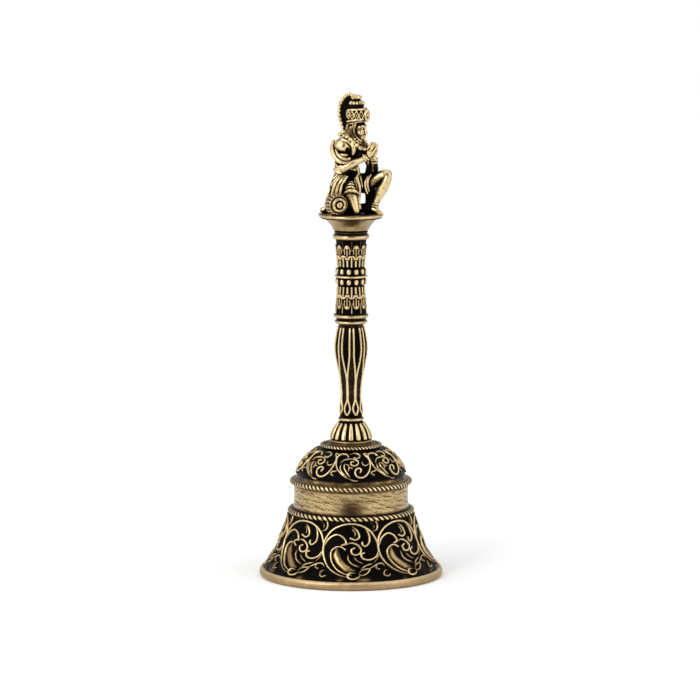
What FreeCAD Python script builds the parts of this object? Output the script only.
"""Brass puja hand bell with a kneeling devotional figure on the handle.

The bell is a hollow casting: a flared skirt with a thick lip, a plain waist band, a stepped
shoulder and a low dome.  Twisted rope rings are seated in grooves at the waist, at the
shoulder and round the crown plate.  The handle is a stack of turned and cast pieces, all
strung on one threaded tie rod: the rod screws into the figure at the top and into an eye nut
inside the crown at the bottom, so the eye nut clamps the bell to the handle.  A round link
hangs in the eye, and the clapper hangs in the link.

Frame: millimetres, +Z up along the handle, origin on the axis at the plane of the lip.
The figure faces mostly +X and a little towards -Y.
"""
import FreeCAD
import Part
import math
import os

V = FreeCAD.Vector

# ---------------------------------------------------------------- driving dimensions
LIP_R = 36.0            # outside radius of the lip, the widest place
LIP_HEIGHT = 3.2
WALL = 2.3              # wall of the skirt and band
WAIST_Z = 25.9          # plane of the waist rope
SHOULDER_Z = 37.4       # plane of the shoulder rope
BAND_R = 22.4
CROWN_Z = 50.8          # flat on top of the dome
CROWN_FLAT_R = 12.3
FOOT_Z = 53.0
FOOT_RING_Z = 61.2
GRIP_Z = 62.8
COLLAR_Z = 99.4
COLUMN_Z = 103.8
SPOOL_Z = 114.9
UPPER_DRUM_Z = 121.8
NECK_Z = 132.8
CAPITAL_Z = 136.4
PLATE_Z = 141.5
FIGURE_Z = 143.0
PLATE_R = 12.7

ROD_R = 2.0             # M4 tie rod, drawn at its outside radius
CLEAR = 0.05            # radial clearance of the rod in the handle's bores
BORE_R = ROD_R + CLEAR

ROPE_R = 0.95           # radius of the two large twisted ropes
WAIST_ROPE_RING_R = 24.0
SHOULDER_ROPE_RING_R = 23.15
CROWN_ROPE_R = 0.7
CROWN_ROPE_RING_R = 11.5

CROWN_THICK = 3.0
WASHER_R = 5.0
WASHER_THICK = 0.8
NUT_ACROSS_FLATS = 7.0
NUT_THICK = 3.0
EYE_RING_R = 2.3        # centreline radius of the eye
EYE_WIRE_R = 0.75
LINK_RING_R = 3.0       # centreline radius of the link
LINK_WIRE_R = 0.55
HANG_GAP = 0.08         # play between a hanging ring and the wire it hangs on
CLAPPER_ROD_R = 1.1
BALL_R = 6.0
BALL_Z = 10.0

# ---------------------------------------------------------------- places that follow from them
CROWN_UNDER_Z = CROWN_Z - CROWN_THICK
NUT_TOP_Z = CROWN_UNDER_Z - WASHER_THICK
NUT_BOTTOM_Z = NUT_TOP_Z - NUT_THICK
EYE_Z = NUT_BOTTOM_Z - EYE_RING_R + EYE_WIRE_R      # centre of the eye
LINK_PIVOT_Z = EYE_Z - EYE_RING_R                   # wire that the link turns about
LINK_TOP_Z = LINK_PIVOT_Z + EYE_WIRE_R + LINK_WIRE_R + HANG_GAP
LINK_Z = LINK_TOP_Z - LINK_RING_R
CLAPPER_PIVOT_Z = LINK_Z - LINK_RING_R              # wire that the clapper turns about
CLAPPER_EYE_Z = CLAPPER_PIVOT_Z + LINK_WIRE_R + EYE_WIRE_R + HANG_GAP - EYE_RING_R


# ---------------------------------------------------------------- outline helpers (r, z)
def place(point):
    return V(point[0], 0, point[1])


def straight(*points):
    return [Part.LineSegment(place(a), place(b)).toShape() for a, b in zip(points, points[1:])]


def arc(start, middle, end):
    return [Part.Arc(place(start), place(middle), place(end)).toShape()]


def smooth(*points):
    curve = Part.BSplineCurve()
    curve.interpolate([place(p) for p in points])
    return [curve.toShape()]


def turned(edges):
    """A solid of revolution about Z from a closed outline of edges in the XZ plane."""
    face = Part.Face(Part.Wire(Part.__sortEdges__(edges)))
    solid = face.revolve(V(0, 0, 0), V(0, 0, 1), 360)
    return solid if solid.ShapeType == "Solid" else Part.makeSolid(solid)


def torus(ring_r, wire_r, z, axis=V(0, 0, 1)):
    return Part.makeTorus(ring_r, wire_r, V(0, 0, z), axis)


def bead_edge(r, low, high, bulge):
    """A rounded edge from (r, low) to (r, high) that stands out by bulge."""
    return arc((r, low), (r + bulge, (low + high) / 2), (r, high))


# ---------------------------------------------------------------- the bell
def bell_shell():
    flare_top = (24.6, 24.7)
    band_foot = (22.9, 27.2)
    inner_band_r = BAND_R - WALL
    outline = []
    outline += straight((33.0, 0.0), (35.2, 0.0))
    outline += arc((35.2, 0.0), (LIP_R, LIP_HEIGHT / 2), (35.0, LIP_HEIGHT))
    outline += straight((35.0, LIP_HEIGHT), (34.5, LIP_HEIGHT + 0.1))
    outline += smooth((34.5, LIP_HEIGHT + 0.1), (31.7, 6.9), (29.5, 10.5), (27.7, 15.2), flare_top)
    outline += straight(flare_top, (24.2, 26.4), band_foot)
    outline += smooth(band_foot, (BAND_R, 30.2), (BAND_R - 0.05, 33.2), (BAND_R + 0.1, 36.2))
    outline += straight((BAND_R + 0.1, 36.2), (23.3, 36.5), (23.3, 38.2), (21.9, 38.7))
    outline += smooth((21.9, 38.7), (20.9, 42.2), (18.2, 46.4), (CROWN_FLAT_R, CROWN_Z))
    outline += straight((CROWN_FLAT_R, CROWN_Z), (ROD_R + 0.1, CROWN_Z), (ROD_R + 0.1, CROWN_UNDER_Z))
    outline += straight((ROD_R + 0.1, CROWN_UNDER_Z), (9.0, CROWN_UNDER_Z))
    outline += smooth((9.0, CROWN_UNDER_Z), (15.6, 44.6), (18.8, 40.6), (inner_band_r, 36.2))
    outline += straight((inner_band_r, 36.2), (inner_band_r, 30.2))
    outline += smooth((inner_band_r, 30.2), (21.9, 24.2), (24.9, 15.0), (28.8, 7.8), (33.0, 0.0))
    shell = turned(outline)
    for rope in (waist_rope_ring(), shoulder_rope_ring()):
        shell = shell.cut(rope)
    return shell


def waist_rope_ring():
    return torus(WAIST_ROPE_RING_R, ROPE_R, WAIST_Z)


def shoulder_rope_ring():
    return torus(SHOULDER_ROPE_RING_R, ROPE_R, SHOULDER_Z)


def crown_rope_ring():
    return torus(CROWN_ROPE_RING_R, CROWN_ROPE_R, CROWN_Z + 0.85)


def crown_plate():
    edge_r = 11.2
    plate = turned(
        straight((BORE_R, CROWN_Z), (edge_r, CROWN_Z), (edge_r, CROWN_Z + 0.9))
        + smooth((edge_r, CROWN_Z + 0.9), (9.8, CROWN_Z + 1.5), (8.9, FOOT_Z))
        + straight((8.9, FOOT_Z), (BORE_R, FOOT_Z), (BORE_R, CROWN_Z))
    )
    return plate.cut(crown_rope_ring())


# ---------------------------------------------------------------- the handle
REEDS = 16
REED_DEPTH = 0.55


def reeded_foot():
    """A flared foot with convex reeds between straight grooves, above a thin base fillet."""
    top_z = FOOT_RING_Z
    body = turned(
        straight((BORE_R, top_z), (BORE_R, FOOT_Z), (8.3, FOOT_Z))
        + bead_edge(8.3, FOOT_Z, FOOT_Z + 0.9, 0.2)
        + straight((8.3, FOOT_Z + 0.9), (8.0, FOOT_Z + 1.1))
        + smooth((8.0, FOOT_Z + 1.1), (7.7, 56.5), (6.6, 58.8), (4.7, top_z))
        + straight((4.7, top_z), (BORE_R, top_z))
    )
    low, high = V(8.3, 0, FOOT_Z + 1.0), V(4.9, 0, top_z + 0.4)
    grooves = []
    for i in range(REEDS):
        groove = Part.makeCylinder(REED_DEPTH, (high - low).Length, low, high - low)
        bulge = Part.makeCylinder(REED_DEPTH, 4.2, V(8.2, 0, FOOT_Z + 1.3), V(-0.35, 0, 1))
        tool = groove.fuse(bulge)
        tool.rotate(V(0, 0, 0), V(0, 0, 1), (i + 0.5) * 360.0 / REEDS)
        grooves.append(tool)
    return body.cut(grooves)


def foot_ring():
    low, high = FOOT_RING_Z, GRIP_Z
    return turned(
        straight((BORE_R, high), (BORE_R, low), (4.4, low))
        + bead_edge(4.4, low, high, 0.65)
        + straight((4.4, high), (BORE_R, high))
    )


def baluster_grip():
    """A slender baluster: a small flare, a narrow waist, a long swelling and a neck."""
    return turned(
        straight((BORE_R, COLLAR_Z), (BORE_R, GRIP_Z), (4.7, GRIP_Z))
        + smooth((4.7, GRIP_Z), (4.25, 66.7), (3.9, 71.2), (4.4, 77.4), (5.65, 84.6), (6.3, 90.2),
                 (5.75, 95.3), (5.0, COLLAR_Z))
        + straight((5.0, COLLAR_Z), (BORE_R, COLLAR_Z))
    )


def grip_collar():
    """Two rounded rings with a deep groove between them."""
    low_ring = (COLLAR_Z + 0.4, COLLAR_Z + 1.8)
    high_ring = (COLLAR_Z + 2.6, COLLAR_Z + 4.2)
    return turned(
        straight((BORE_R, COLUMN_Z), (BORE_R, COLLAR_Z), (5.6, COLLAR_Z), (5.8, low_ring[0]))
        + bead_edge(5.8, *low_ring, 0.65)
        + straight((5.8, low_ring[1]), (6.15, low_ring[1] + 0.1), (6.15, high_ring[0]))
        + bead_edge(6.15, *high_ring, 0.72)
        + straight((6.15, high_ring[1]), (6.15, COLUMN_Z), (BORE_R, COLUMN_Z))
    )


def leaf_drum(wide_z, narrow_z):
    """A tapered drum, wide at wide_z and narrow at narrow_z, slightly hollow in profile."""
    middle_z = (wide_z + narrow_z) / 2
    return turned(
        smooth((6.55, wide_z), (6.0, middle_z), (5.4, narrow_z))
        + straight((5.4, narrow_z), (BORE_R, narrow_z), (BORE_R, wide_z), (6.55, wide_z))
    )


BEADS = 12          # beads in each row of the spool
BEAD_TURN = -98.5   # degrees from +X to one of them


def bead_spool():
    """A short spool: a thin ring in the middle and a row of upright beads above and below it."""
    ring_z = (SPOOL_Z + UPPER_DRUM_Z) / 2
    core_r = 5.35
    bead_r, bead_height = 1.0, 1.9
    bead_shift = 1.85       # height of a bead row's middle above or below the ring's
    spool = turned(
        straight((BORE_R, UPPER_DRUM_Z), (BORE_R, SPOOL_Z), (core_r, SPOOL_Z))
        + straight((core_r, SPOOL_Z), (core_r, ring_z - 0.6))
        + bead_edge(core_r, ring_z - 0.6, ring_z + 0.6, 1.1)
        + straight((core_r, ring_z + 0.6), (core_r, UPPER_DRUM_Z), (BORE_R, UPPER_DRUM_Z))
    )
    beads = []
    for i in range(BEADS):
        for side in (-1, 1):
            foot_z = ring_z + side * bead_shift - bead_height / 2
            bead = Part.makeCylinder(bead_r, bead_height, V(core_r - 0.1, 0, foot_z))
            bead.rotate(V(0, 0, 0), V(0, 0, 1), BEAD_TURN + i * 360.0 / BEADS)
            beads.append(bead)
    return spool.fuse(beads).removeSplitter()


def neck_collar():
    ring = (NECK_Z + 0.1, NECK_Z + 2.1)
    return turned(
        straight((BORE_R, CAPITAL_Z), (BORE_R, NECK_Z), (6.5, NECK_Z), (6.5, ring[0]))
        + bead_edge(6.5, *ring, 0.7)
        + straight((6.5, ring[1]), (6.5, CAPITAL_Z), (BORE_R, CAPITAL_Z))
    )


def capital():
    """A flared dish that carries the plate."""
    return turned(
        straight((BORE_R, PLATE_Z), (BORE_R, CAPITAL_Z), (6.9, CAPITAL_Z))
        + smooth((6.9, CAPITAL_Z), (8.3, 138.1), (10.3, 139.8), (12.0, PLATE_Z - 0.3))
        + straight((12.0, PLATE_Z - 0.3), (12.0, PLATE_Z), (BORE_R, PLATE_Z))
    )


def figure_plate():
    return turned(
        straight((BORE_R, FIGURE_Z), (BORE_R, PLATE_Z), (12.2, PLATE_Z))
        + arc((12.2, PLATE_Z), (PLATE_R, (PLATE_Z + FIGURE_Z) / 2), (12.3, FIGURE_Z))
        + straight((12.3, FIGURE_Z), (BORE_R, FIGURE_Z))
    )


# ---------------------------------------------------------------- the figure on the plate
FACING = math.radians(-32)      # the way the figure faces, from +X towards -Y


def at(forward, side, z):
    """A point from the figure's own forward and left distances, about the handle's axis."""
    x = forward * math.cos(FACING) - side * math.sin(FACING)
    y = forward * math.sin(FACING) + side * math.cos(FACING)
    return V(x, y, z)


def ball(centre, radius, stretch=1.0):
    """A sphere, or an upright ellipsoid of height stretch times its width."""
    shape = Part.makeSphere(radius)
    if stretch != 1.0:
        matrix = FreeCAD.Matrix()
        matrix.scale(1, 1, stretch)
        shape = shape.transformGeometry(matrix)
    shape.translate(centre)
    return shape


def limb(start, end, start_r, end_r):
    """A tapered limb with a rounded joint at its far end."""
    along = end - start
    cone = Part.makeCone(start_r, end_r, along.Length, start, along)
    return [cone, ball(end, end_r * 1.03)]


PELVIS = at(-3.0, 0.0, 151.0)
CHEST = at(-1.0, 0.0, 163.5)
NECK = at(1.6, 0.0, 171.0)
HEAD = at(3.0, 0.0, 175.6)
CROWN = at(2.9, 0.0, 180.4)
CROWN_TOP = at(2.2, 0.0, 187.8)
HANDS = at(8.3, 0.0, 167.2)
NEAR_SHOULDER = at(-0.4, -5.6, 168.6)
NEAR_ELBOW = at(-1.0, -8.0, 160.4)
FAR_SHOULDER = at(-0.6, 5.8, 168.2)
FAR_ELBOW = at(6.1, 6.4, 160.4)
NEAR_HIP = at(-2.0, -3.2, 152.4)
NEAR_KNEE = at(5.2, -4.4, 145.6)
NEAR_ANKLE = at(-7.4, -3.0, 144.9)
FAR_HIP = at(-1.0, 3.4, 152.4)
FAR_KNEE = at(13.0, 4.4, 158.4)
FAR_ANKLE = at(9.3, 3.2, 146.6)
FAR_TOE = at(12.0, 3.3, 144.2)


def tail():
    """A tail that rises behind the back and arches over the crown."""
    route = [at(-8.6, 0, 145.2), at(-9.2, 0, 152.0), at(-8.0, 0, 160.0), at(-6.2, 0, 168.0),
             at(-4.9, 0, 175.5), at(-5.6, 0, 182.0), at(-3.6, 0, 187.2), at(-1.0, 0, 188.8)]
    pieces = []
    for start, end in zip(route, route[1:]):
        pieces += limb(start, end, 1.2, 1.15)
    return pieces


def tail_web():
    """The thin web that fills the arch of the tail behind the head."""
    half_thick = 0.7
    outline = [(-4.9, 174.0), (-5.6, 182.0), (-3.6, 187.0), (-1.0, 188.4), (2.0, 187.0), (2.0, 174.0)]
    corners = [at(forward, -half_thick, z) for forward, z in outline]
    face = Part.Face(Part.makePolygon(corners + corners[:1]))
    return face.extrude(at(0, 2 * half_thick, 0))


def kneeling_figure():
    """A figure kneeling on one knee with joined palms, cast in one piece with its tail."""
    boss = Part.makeCone(5.6, 4.4, 6.6, V(0, 0, FIGURE_Z))
    pieces = [ball(PELVIS, 5.2, 0.95), ball(at(-2.2, 0.0, 157.0), 4.7, 1.2), ball(CHEST, 5.9, 1.1)]
    pieces += limb(CHEST, NECK, 3.2, 2.4)
    pieces += [ball(HEAD, 4.0, 1.08), ball(CROWN, 4.7, 0.8)]
    pieces += limb(CROWN, CROWN_TOP, 4.2, 1.9)
    pieces += limb(NEAR_SHOULDER, NEAR_ELBOW, 3.0, 2.2)
    pieces += limb(NEAR_ELBOW, HANDS, 2.0, 1.6)
    pieces += limb(FAR_SHOULDER, FAR_ELBOW, 3.0, 2.1)
    pieces += limb(FAR_ELBOW, HANDS, 2.0, 1.6)
    pieces += [ball(NEAR_SHOULDER, 3.4), ball(FAR_SHOULDER, 3.2), ball(at(9.0, 0.0, 169.2), 2.2, 1.2)]
    pieces += limb(NEAR_HIP, NEAR_KNEE, 4.1, 2.4)
    pieces += limb(NEAR_KNEE, NEAR_ANKLE, 2.3, 1.7)
    pieces += limb(FAR_HIP, FAR_KNEE, 4.1, 2.4)
    pieces += limb(FAR_KNEE, FAR_ANKLE, 2.5, 1.9)
    pieces += limb(FAR_ANKLE, FAR_TOE, 1.7, 1.2)
    # the cloth: a sleeve under the far arm, a fold by the far leg and the train behind
    pieces += limb(at(6.6, 5.2, 162.0), at(6.4, 4.8, 156.4), 1.9, 1.7)
    pieces += limb(at(3.0, 3.7, 154.0), at(6.0, 3.8, 144.8), 2.6, 1.5)
    pieces += limb(at(-2.4, -2.9, 157.0), at(-5.6, -4.6, 146.0), 2.4, 2.7)
    pieces += tail() + [tail_web()]
    figure = boss.fuse(pieces)
    base_plane = Part.makeBox(60, 60, 10, V(-30, -30, FIGURE_Z - 10))
    screw_hole = Part.makeCylinder(BORE_R, 5.4, V(0, 0, FIGURE_Z))
    return figure.cut([base_plane, screw_hole, mace()]).removeSplitter()


MACE_R = 4.3
MACE_HEAD = V(-5.9, -8.0, FIGURE_Z + MACE_R)


def mace():
    """The round head of a mace lying beside the near leg, with a boss on its face and a shaft stub."""
    back = V(-0.34, 0.94, 0.0)
    back.normalize()
    head = ball(MACE_HEAD, MACE_R)
    face_boss = Part.makeCylinder(2.6, 1.2, MACE_HEAD - back * 4.6, back)
    shaft_stub = Part.makeCylinder(2.0, 1.2, MACE_HEAD + back * 3.6, back)
    return head.fuse([face_boss, shaft_stub]).removeSplitter()


# ---------------------------------------------------------------- rod, nut and clapper
def tie_rod():
    top_z = FIGURE_Z + 5.2
    rod = Part.makeCylinder(ROD_R, top_z - NUT_BOTTOM_Z - 0.4, V(0, 0, NUT_BOTTOM_Z + 0.4))
    return rod


def crown_washer():
    disc = Part.makeCylinder(WASHER_R, WASHER_THICK, V(0, 0, NUT_TOP_Z))
    return disc.cut(Part.makeCylinder(ROD_R + 0.15, WASHER_THICK, V(0, 0, NUT_TOP_Z)))


def eye_nut():
    """A hexagon nut with a round eye cast below it."""
    corner_r = NUT_ACROSS_FLATS / 2 / math.cos(math.pi / 6)
    corners = [V(corner_r * math.cos(i * math.pi / 3), corner_r * math.sin(i * math.pi / 3), NUT_BOTTOM_Z)
               for i in range(7)]
    hexagon = Part.Face(Part.makePolygon(corners)).extrude(V(0, 0, NUT_THICK))
    eye = torus(EYE_RING_R, EYE_WIRE_R, EYE_Z, V(0, 1, 0))
    bore = Part.makeCylinder(ROD_R + CLEAR, NUT_THICK, V(0, 0, NUT_BOTTOM_Z + 0.4))
    return hexagon.fuse(eye).cut(bore).removeSplitter()


def clapper_link():
    return torus(LINK_RING_R, LINK_WIRE_R, LINK_Z, V(1, 0, 0))


def clapper_rod():
    """An eye, a slender rod and a short pin that goes through the ball."""
    eye_bottom_z = CLAPPER_EYE_Z - EYE_RING_R
    shaft_low_z = BALL_Z + BALL_R - 0.9
    eye = torus(EYE_RING_R, EYE_WIRE_R, CLAPPER_EYE_Z, V(0, 1, 0))
    shaft = turned(
        straight((0, shaft_low_z), (1.7, shaft_low_z), (1.7, shaft_low_z + 1.4))
        + smooth((1.7, shaft_low_z + 1.4), (CLAPPER_ROD_R, shaft_low_z + 4.0), (CLAPPER_ROD_R, eye_bottom_z + 0.1))
        + straight((CLAPPER_ROD_R, eye_bottom_z + 0.1), (0, eye_bottom_z + 0.1), (0, shaft_low_z))
    )
    pin = Part.makeCylinder(1.0, shaft_low_z - BALL_Z + BALL_R + 0.3, V(0, 0, BALL_Z - BALL_R - 0.3))
    return eye.fuse([shaft, pin]).removeSplitter()


def clapper_ball():
    """A ball with a small flat above and below, bored for the rod's pin."""
    sphere = ball(V(0, 0, BALL_Z), BALL_R)
    flat_above = Part.makeBox(20, 20, 5, V(-10, -10, BALL_Z + BALL_R - 0.9))
    flat_below = Part.makeBox(20, 20, 5, V(-10, -10, BALL_Z - BALL_R - 5 + 0.3))
    bore = Part.makeCylinder(1.0, 3 * BALL_R, V(0, 0, BALL_Z - 1.5 * BALL_R))
    return sphere.cut([flat_above, flat_below, bore])


# ---------------------------------------------------------------- write one STEP per piece
PIECES = {
    "bell_shell": bell_shell,
    "waist_rope_ring": waist_rope_ring,
    "shoulder_rope_ring": shoulder_rope_ring,
    "crown_rope_ring": crown_rope_ring,
    "crown_plate": crown_plate,
    "reeded_foot": reeded_foot,
    "foot_ring": foot_ring,
    "baluster_grip": baluster_grip,
    "grip_collar": grip_collar,
    "lower_leaf_drum": lambda: leaf_drum(COLUMN_Z, SPOOL_Z),
    "bead_spool": bead_spool,
    "upper_leaf_drum": lambda: leaf_drum(NECK_Z, UPPER_DRUM_Z),
    "neck_collar": neck_collar,
    "capital": capital,
    "figure_plate": figure_plate,
    "kneeling_figure": kneeling_figure,
    "mace": mace,
    "tie_rod": tie_rod,
    "crown_washer": crown_washer,
    "eye_nut": eye_nut,
    "clapper_link": clapper_link,
    "clapper_rod": clapper_rod,
    "clapper_ball": clapper_ball,
}

os.makedirs("parts", exist_ok=True)
for name, make in PIECES.items():
    shape = make()
    assert shape.isValid() and shape.Volume > 0, name
    print(f"{name}: {len(shape.Solids)} solid(s), {shape.Volume:.0f} mm3, top z {shape.BoundBox.ZMax:.2f}")
    shape.exportStep(f"parts/{name}.step")
